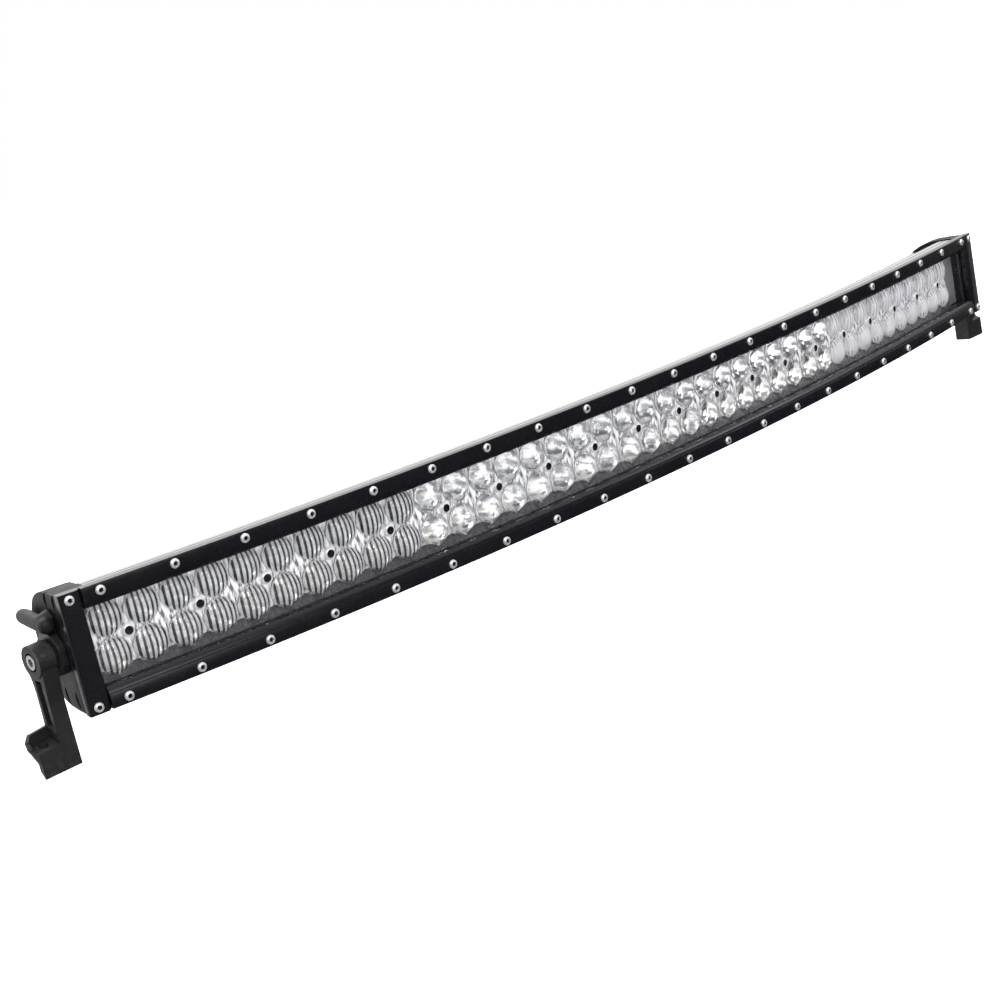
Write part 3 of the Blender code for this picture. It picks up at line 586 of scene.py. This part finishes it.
def housing_outline():
    """Section of the extrusion: window seat, board channel, base, fins with round tips and roots."""
    half = HOUSING_HALF_HEIGHT
    base = 30.5 * MM
    outer = [(HOUSING_FRONT, half)]
    for groove in (11 * MM, 17 * MM):
        outer += [(groove, half), (groove + 0.2 * MM, half - 0.5 * MM),
                  (groove + 0.8 * MM, half - 0.5 * MM), (groove + 1 * MM, half)]
    outer += [(24 * MM, half), (25 * MM, half - 0.3 * MM), (base - 0.4 * MM, half - 3.2 * MM),
              (base, half - 3.6 * MM)]
    fins = []
    for number in range(FIN_COUNT):
        height = (FIN_COUNT // 2 - number) * FIN_PITCH
        top, bottom = height + FIN_HALF_THICKNESS, height - FIN_HALF_THICKNESS
        tip = fin_tip(max(abs(top), abs(bottom)))
        fins += [
            (base, top + 0.5 * MM), (base + 0.15 * MM, top + 0.15 * MM), (base + 0.6 * MM, top),
            (tip - 0.8 * MM, top - 0.15 * MM), (tip - 0.25 * MM, top - 0.4 * MM),
            (tip, height + 0.35 * MM), (tip, height - 0.35 * MM),
            (tip - 0.25 * MM, bottom + 0.4 * MM), (tip - 0.8 * MM, bottom + 0.15 * MM),
            (base + 0.6 * MM, bottom), (base + 0.15 * MM, bottom - 0.15 * MM),
            (base, bottom - 0.5 * MM),
        ]
    inner = [(CHANNEL_BACK, CHANNEL_HALF_HEIGHT), (CHANNEL_FRONT, CHANNEL_HALF_HEIGHT),
             (CHANNEL_FRONT, WINDOW_SEAT_HALF_HEIGHT), (HOUSING_FRONT, WINDOW_SEAT_HALF_HEIGHT)]
    lower_inner = [(depth, -height) for depth, height in reversed(inner)]
    lower_outer = [(depth, -height) for depth, height in reversed(outer)]
    return outer + fins + lower_outer + lower_inner + inner


def build_housing():
    bm = swept(housing_outline(), -HOUSING_HALF_LENGTH, HOUSING_HALF_LENGTH, HOUSING_STEPS)
    housing = add_piece("housing_body", bm, HOUSING, smooth_angle=30)
    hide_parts("housing")


build_housing()


# ---------------------------------------------------------------- optics

LENS_RADIUS = 12.5 * MM
DOME_RADIUS = 11.6 * MM
DOME_HEIGHT = 4.4 * MM
RIM_DEPTH = 18.2 * MM
RIM_WALL = 0.8 * MM
RIB_PITCH = 3.8 * MM
RIB_HEIGHT = 0.3 * MM
FAINT_RIB_HEIGHT = 0.12 * MM
# Faces of a ribbed dome whose rib_share stays below this get the painted groove shade
SHADED_GROOVE_SHARE = 0.68
WEB_DEPTH = 18.7 * MM
TRAY_BACK = 24.0 * MM
TRAY_HALF_WIDTH = 25.2 * MM
TRAY_HALF_HEIGHT = 26 * MM
CUP_STEPS = 40
EMITTER_DEPTH = 3.9 * MM
SCREW_SEAT_SIDES = 24
APRON_STEPS = 40
FIRST_CLEAR_MODULE = 5
FIRST_SHEEN_MODULE = 15
MARGIN_END = 521.8 * MM


def dome_height(across, up):
    """How far the smooth dome stands out of its rim at a place from its middle."""
    sphere = (DOME_RADIUS ** 2 + DOME_HEIGHT ** 2) / (2 * DOME_HEIGHT)
    reach = sphere ** 2 - across ** 2 - up ** 2
    return max(0, math.sqrt(max(reach, 0)) - (sphere - DOME_HEIGHT))


def rib_share(turn):
    """0 in the groove between two ribs, 1 on a rib's crest. turn runs from -1 to 1 across a dome."""
    return abs(math.cos(math.pi * turn * LENS_RADIUS / RIB_PITCH))


def dome_grid(centre, rib_height):
    """Rows of points across a dome, from its lowest point to its highest one.

    A ribbed dome's columns follow its ribs, which lean in towards the dome's top and bottom.
    """
    ribbed = rib_height > 0
    columns = 72 if ribbed else 24
    rows = 20 if ribbed else 22
    grid = []
    for row in range(rows + 1):
        up = -LENS_RADIUS * math.cos(math.pi * row / rows)
        reach = math.sqrt(max(LENS_RADIUS ** 2 - up ** 2, 0))
        spread = (reach * LENS_RADIUS ** 2) ** (1 / 3) if ribbed else reach
        line = []
        for column in range(columns + 1):
            turn = 2 * column / columns - 1 if ribbed else -math.cos(math.pi * column / columns)
            across = max(-reach, min(reach, spread * turn))
            rise = RIM_WALL + dome_height(across, up)
            if ribbed:
                edge = 1 - (across ** 2 + up ** 2) / DOME_RADIUS ** 2
                rise += rib_height * rib_share(turn) * max(0, min(1, edge * 6))
            line.append(centre + Vector((across, -rise, up)))
        grid.append(line)
    return grid


def add_lens(bm, grid, ribbed):
    """Closes a dome given as a grid whose first and last rows are single points.

    The grooves between the ribs, and the rim, get the second material: painted shade on plastic that
    is as clear as the rest.
    """
    columns = len(grid[0]) - 1
    middle = (grid[0][0] + grid[-1][0]) / 2
    made = {}

    def corner(place):
        key = tuple(round(value * 1e7) for value in place)
        if key not in made:
            made[key] = bm.verts.new(place)
        return made[key]

    points = [[corner(place) for place in line] for line in grid]
    for low, high in zip(points, points[1:]):
        for column in range(columns):
            loop = (low[column], low[column + 1], high[column + 1], high[column])
            corners = list(dict.fromkeys(loop))
            if len(corners) < 3:
                continue
            face = bm.faces.new(corners)
            offset = face.calc_center_median() - middle
            # Groove faces of a ribbed dome get the painted shade
            in_shaded_groove = rib_share((2 * column + 1) / columns - 1) < SHADED_GROOVE_SHARE
            on_dome = math.hypot(offset.x, offset.z) < DOME_RADIUS
            face.material_index = 1 if ribbed and in_shaded_groove and on_dome else 0
    # The rim wall gets the painted shade too
    rim = [line[0] for line in points] + [line[columns] for line in points[-2:0:-1]]
    back = [bm.verts.new((place.co.x, 0, place.co.z)) for place in rim]
    count = len(rim)
    for index in range(count):
        after = (index + 1) % count
        bm.faces.new((rim[index], rim[after], back[after], back[index])).material_index = 1
    bm.faces.new(back)


def lens_mesh(name, rib_height, plastic, groove):
    """Four solid lenses of one module. X across, Z up, Y back from the lenses' flat backs."""
    bm = bmesh.new()
    for column in (-0.5, 0.5):
        for row in (-0.5, 0.5):
            centre = Vector((column * LENS_PITCH_X, 0, row * LENS_PITCH_Z))
            add_lens(bm, dome_grid(centre, rib_height), rib_height > 0)
    mesh = finished_mesh(name, bm)
    mesh.materials.append(plastic)
    # groove is the material of the painted shade on the grooves and the rim
    mesh.materials.append(groove)
    return mesh


def cell_edge(turn, half_width, half_height):
    """The point of a rectangle that one of the steps round a cup is joined to."""
    step = turn * 8 / CUP_STEPS
    side = round(step / 2) % 4
    slide = step - 2 * round(step / 2)
    return [
        (half_width, slide * half_height),
        (-slide * half_width, half_height),
        (-half_width, -slide * half_height),
        (slide * half_width, -half_height),
    ][side]


def tray_mesh(name, cup):
    """Bright tray of one module as one closed body: a flat web with a cup behind each lens."""
    bm = bmesh.new()
    cell_x = TRAY_HALF_WIDTH / 2
    cell_z = TRAY_HALF_HEIGHT / 2
    profile = ((11.9, 0), (11.6, 0.3), (10.6, 1.4), (9.0, 2.6), (6.6, 3.6), (3.9, 4.0))
    for column in (-1, 1):
        for row in (-1, 1):
            centre = Vector((column * cell_x, 0, row * cell_z))
            lens = Vector((column * LENS_PITCH_X / 2, 0, row * LENS_PITCH_Z / 2))
            rings = []
            outer = []
            for turn in range(CUP_STEPS):
                across, up = cell_edge(turn, cell_x, cell_z)
                outer.append(bm.verts.new(centre + Vector((across, 0, up))))
            rings.append(outer)
            for radius, depth in profile:
                ring = []
                for turn in range(CUP_STEPS):
                    angle = 2 * math.pi * turn / CUP_STEPS
                    spot = Vector((radius * math.cos(angle), depth, radius * math.sin(angle)))
                    ring.append(bm.verts.new(lens + spot * MM))
                rings.append(ring)
            for number, (first, second) in enumerate(zip(rings, rings[1:])):
                for turn in range(CUP_STEPS):
                    after = (turn + 1) % CUP_STEPS
                    face = bm.faces.new((first[turn], first[after], second[after], second[turn]))
                    face.material_index = 1 if number else 0
            bm.faces.new(rings[-1]).material_index = 1
    bmesh.ops.remove_doubles(bm, verts=bm.verts, dist=0.00001)
    border = [edge for edge in bm.edges if edge.is_boundary]
    grown = bmesh.ops.extrude_edge_only(bm, edges=border)["geom"]
    moved = [item for item in grown if isinstance(item, bmesh.types.BMVert)]
    bmesh.ops.translate(bm, verts=moved, vec=(0, TRAY_BACK - WEB_DEPTH, 0))
    bmesh.ops.holes_fill(bm, edges=[edge for edge in bm.edges if edge.is_boundary])
    mesh = finished_mesh(name, bm)
    mesh.materials.append(WEB)
    mesh.materials.append(cup)
    return mesh


def chips_mesh():
    """The four emitters of one module: a base, a step and a phosphor patch each."""
    bm = bmesh.new()
    for column in (-0.5, 0.5):
        for row in (-0.5, 0.5):
            outlines = []
            for half, rise in ((1.75, 0), (1.75, 0.35), (1.45, 0.45), (1.3, 0.45), (1.2, 0.4)):
                corners = []
                for x, z in ((-half, -half), (half, -half), (half, half), (-half, half)):
                    place = (column * LENS_PITCH_X + x * MM, -rise * MM, row * LENS_PITCH_Z + z * MM)
                    corners.append(bm.verts.new(place))
                outlines.append(corners)
            join_rings(bm, outlines)
            bm.faces.new(outlines[0])
            bm.faces.new(outlines[-1])
    return finished_mesh("emitters", bm)


def hill_height(across):
    """Upper edge of the lower apron: it rises between two lenses and dips below each one."""
    middle = round(across / LENS_PITCH_X) * LENS_PITCH_X
    share = min(1, abs(across - middle) / (LENS_PITCH_X / 2))
    return 5.2 * MM * math.sqrt(max(0, 1 - share ** 2))


def apron_mesh():
    """Grey scalloped apron in front of the tray's lower edge."""
    bm = bmesh.new()
    low = -27 * MM
    rows = []
    for step in range(APRON_STEPS + 1):
        across = TRAY_HALF_WIDTH * (2 * step / APRON_STEPS - 1)
        top = -25.2 * MM + hill_height(across)
        rows.append([
            bm.verts.new((across, -4.6 * MM, low)),
            bm.verts.new((across, -3.2 * MM, low + 0.6 * MM)),
            bm.verts.new((across, -0.7 * MM, top - 0.3 * MM)),
            bm.verts.new((across, -0.4 * MM, top)),
            bm.verts.new((across, -0.1 * MM, top - 0.1 * MM)),
            bm.verts.new((across, -0.1 * MM, low)),
        ])
    join_rings(bm, rows)
    bm.faces.new(rows[0])
    bm.faces.new(rows[-1])
    return finished_mesh("apron", bm)


def screw_seat_mesh():
    """Bright raised ring round a module's middle screw; its inner wall is painted black as shade in
    the hole.
    """
    profile = [(2.9, 0), (2.9, 2.6), (3.1, 2.9), (3.6, 2.9), (4.0, 2.5), (4.5, 0)]
    bm = lathed([(radius * MM, height * MM) for radius, height in profile], SCREW_SEAT_SIDES)
    close_ring(bm, SCREW_SEAT_SIDES)
    # The seat's inner wall gets painted shade
    for face in bm.faces:
        if all(math.hypot(corner.co.x, corner.co.y) < 2.95 * MM for corner in face.verts):
            face.material_index = 1
    mesh = finished_mesh("screw_seat", bm)
    mesh.materials.append(CHROME)
    mesh.materials.append(SCREW_BLACK_AND_SEAT_SHADE)
    return mesh


def close_ring(bm, segments):
    """Joins the first and last rings of a lathed piece with a hole through it."""
    bm.verts.ensure_lookup_table()
    first = list(bm.verts)[:segments]
    last = list(bm.verts)[-segments:]
    for step in range(segments):
        after = (step + 1) % segments
        bm.faces.new((last[step], last[after], first[after], first[step]))


def pan_screw_mesh():
    """Pan-head screw of an optic module, with a round drive recess."""
    profile = [(0, 0.1), (0.9, 0.1), (1.0, 0.6), (1.3, 0.8), (2.1, 0.7), (2.7, 0.4), (2.8, 0.1),
               (1.4, 0.1), (1.4, -3.4), (0, -3.4)]
    bm = lathed([(radius * MM, height * MM) for radius, height in profile], 20)
    return finished_mesh("pan_screw", bm)


def build_modules():
    """All modules: ribbed lenses at the left, clear domes over reflectors with painted reflections in
    the middle, and at the right finer ribbed lenses in a paler plastic that is painted sheen.
    """
    left_lens = lens_mesh("ribbed_lens", RIB_HEIGHT, LENS_RIBBED, LENS_GROOVE_PAINTED_SHADE)
    middle_lens = lens_mesh("clear_lens", 0, LENS, LENS_LIGHT_PAINTED_SHADE)
    right_lens = lens_mesh("fine_ribbed_lens", FAINT_RIB_HEIGHT, LENS_PAINTED_SHEEN, LENS_LIGHT_PAINTED_SHADE)
    plain_tray = tray_mesh("plain_tray", CHROME)
    tray_painted_reflections = tray_mesh("tray_painted_reflections", REFLECTOR_PAINTED_REFLECTIONS)
    chips, apron, seat, screw = chips_mesh(), apron_mesh(), screw_seat_mesh(), pan_screw_mesh()
    for number in range(MODULE_COUNT):
        along = MODULE_SHIFT + (number - (MODULE_COUNT - 1) / 2) * MODULE_PITCH
        tag = f"{number + 1:02d}"
        lens, tray = middle_lens, tray_painted_reflections
        if number < FIRST_CLEAR_MODULE:
            lens, tray = left_lens, plain_tray
        elif number >= FIRST_SHEEN_MODULE:
            lens, tray = right_lens, plain_tray
        web = bar_frame(along, WEB_DEPTH, 0)
        front = facing_front(along, WEB_DEPTH, 0)
        pieces = (
            ("tray", tray, WEB, "reflector", web),
            ("lens", lens, LENS, "reflector", bar_frame(along, RIM_DEPTH, 0)),
            ("emitters", chips, PHOSPHOR, "led_board", bar_frame(along, WEB_DEPTH + EMITTER_DEPTH, 0)),
            ("apron", apron, APRON, "reflector", web),
            ("screw_seat", seat, CHROME, "reflector", front),
            ("module_screw", screw, SCREW_BLACK_AND_SEAT_SHADE, "stainless", front @ Matrix.Rotation(number, 4, "Z")),
        )
        for label, mesh, material, slot, place in pieces:
            made = add_mesh(f"{label}_{tag}", mesh, material, smooth_angle=50)
            made.matrix_world = place
            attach(made, "bar")
            if label == "tray":
                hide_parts(f"optic_module_{tag}")


def build_end_margin():
    """Grey cover over the stretch of channel that the modules leave free at the right end."""
    front, back, half = WEB_DEPTH - 0.8 * MM, WEB_DEPTH + 1.0 * MM, 26.6 * MM
    start = MODULE_SHIFT + MODULE_COUNT / 2 * MODULE_PITCH + 0.3 * MM
    outline = [(front, half - 0.5 * MM), (front + 0.5 * MM, half), (back, half), (back, -half),
               (front + 0.5 * MM, -half), (front, -half + 0.5 * MM)]
    bm = swept(outline, start, MARGIN_END, 4)
    add_piece("end_margin", bm, MARGIN, bevel=0.3 * MM)


build_modules()
build_end_margin()


# ---------------------------------------------------------------- CAD nodes that stay

def finish_node(name, material, bevel=0.0):
    """Gives a CAD node its material and, where a bevel is set, merged faces and bevelled edges."""
    node = nodes[name]
    node.data.materials.clear()
    node.data.materials.append(material)
    if bevel:
        weld = node.modifiers.new("weld", "WELD")
        weld.merge_threshold = 0.00001
        flat = node.modifiers.new("flat", "DECIMATE")
        flat.decimate_type = "DISSOLVE"
        flat.angle_limit = math.radians(1)
        add_bevel(node, bevel)


def melt_together(node):
    """Rounds the creases where a moulded piece's parts meet."""
    remesh = node.modifiers.new("remesh", "REMESH")
    remesh.mode = "VOXEL"
    remesh.voxel_size = 0.7 * MM
    remesh.use_smooth_shade = True
    smooth = node.modifiers.new("smooth", "SMOOTH")
    smooth.factor = 0.5
    smooth.iterations = 12


for side in ("left", "right"):
    finish_node(f"{side}_end_cap", CAP, 0.5 * MM)
    finish_node(f"{side}_end_gasket", SILICONE)
    finish_node(f"{side}_bracket", BRACKET, 0.5 * MM)
    finish_node(f"{side}_pivot_boss", BOSS, 0.4 * MM)
    finish_node(f"{side}_friction_washer", RUBBER)
    finish_node(f"{side}_flat_washer", STEEL, 0.15 * MM)
    finish_node(f"{side}_spring_washer", STEEL, 0.15 * MM)
    finish_node(f"{side}_pivot_bolt", BOLT_STEEL, 0.3 * MM)
finish_node("window_gasket", SILICONE)
finish_node("cable_boot", RUBBER)
melt_together(nodes["cable_boot"])
finish_node("breather_vent", BOSS, 0.4 * MM)
finish_node("driver_board", DRIVER)
for number in range(4):
    finish_node(f"led_board_{number + 1}", BOARD)


# ---------------------------------------------------------------- studio

def build_world():
    """Light from above and behind; the camera sees plain white."""
    world = bpy.data.worlds.new("studio")
    bpy.context.scene.world = world
    world.use_nodes = True
    tree = world.node_tree
    tree.nodes.clear()
    output = tree.nodes.new("ShaderNodeOutputWorld")
    path = tree.nodes.new("ShaderNodeLightPath")
    seen = tree.nodes.new("ShaderNodeBackground")
    seen.inputs["Color"].default_value = (1, 1, 1, 1)
    lighting = tree.nodes.new("ShaderNodeBackground")
    pick = tree.nodes.new("ShaderNodeMixShader")
    source = tree.nodes.new("ShaderNodeTexCoord")
    split = tree.nodes.new("ShaderNodeVectorMath")
    split.operation = "DOT_PRODUCT"
    split.inputs[1].default_value = (0.0, 0.72, 0.69)
    tree.links.new(source.outputs["Generated"], split.inputs[0])
    share = between(tree, split.outputs["Value"], -0.3, 0.7, 0.03, 2.1)
    tree.links.new(share, lighting.inputs["Strength"])
    tree.links.new(path.outputs["Is Camera Ray"], pick.inputs[0])
    tree.links.new(lighting.outputs[0], pick.inputs[1])
    tree.links.new(seen.outputs[0], pick.inputs[2])
    tree.links.new(pick.outputs[0], output.inputs[0])


def area_light(name, place, target, size, energy):
    data = bpy.data.lights.new(name, "AREA")
    data.shape = "RECTANGLE"
    data.size, data.size_y = size
    data.energy = energy
    light = bpy.data.objects.new(name, data)
    bpy.context.scene.collection.objects.link(light)
    light.location = place
    light.rotation_euler = (Vector(target) - Vector(place)).to_track_quat("-Z", "Y").to_euler()


def build_floor():
    material, tree, shader = new_material("studio_floor")
    grain = noise(tree, mapped(tree), 3, 3)
    tree.links.new(
        mixed(tree, between(tree, grain, 0.3, 0.7), (0.86, 0.86, 0.86), (0.9, 0.9, 0.9)),
        shader.inputs["Base Color"],
    )
    shader.inputs["Roughness"].default_value = 0.8
    shader.inputs["Specular IOR Level"].default_value = 0.1
    shader.inputs["Emission Color"].default_value = (1, 1, 1, 1)
    shader.inputs["Emission Strength"].default_value = 0.6
    bm = bmesh.new()
    bmesh.ops.create_grid(bm, x_segments=8, y_segments=8, size=40)
    mesh = bpy.data.meshes.new("floor")
    bm.to_mesh(mesh)
    bm.free()
    mesh.materials.append(material)
    floor = bpy.data.objects.new("floor", mesh)
    bpy.context.scene.collection.objects.link(floor)
    floor.location.z = cad_low.z
    floor.visible_glossy = False


build_world()
build_floor()
area_light("softbox_front", (-1.6, -2.2, 1.9), (0, 0, 0.07), (1.6, 1.2), 80)
area_light("softbox_low", (-0.5, -2.4, 0.5), (0, 0, 0.07), (1.4, 0.6), 12)
area_light("softbox_right", (2.2, -1.4, 1.2), (0.2, 0, 0.07), (0.9, 0.9), 14)
area_light("softbox_back", (0.3, 2.4, 2.2), (0, 0, 0.07), (2.6, 1.2), 45)
bpy.context.scene.view_settings.view_transform = "Standard"
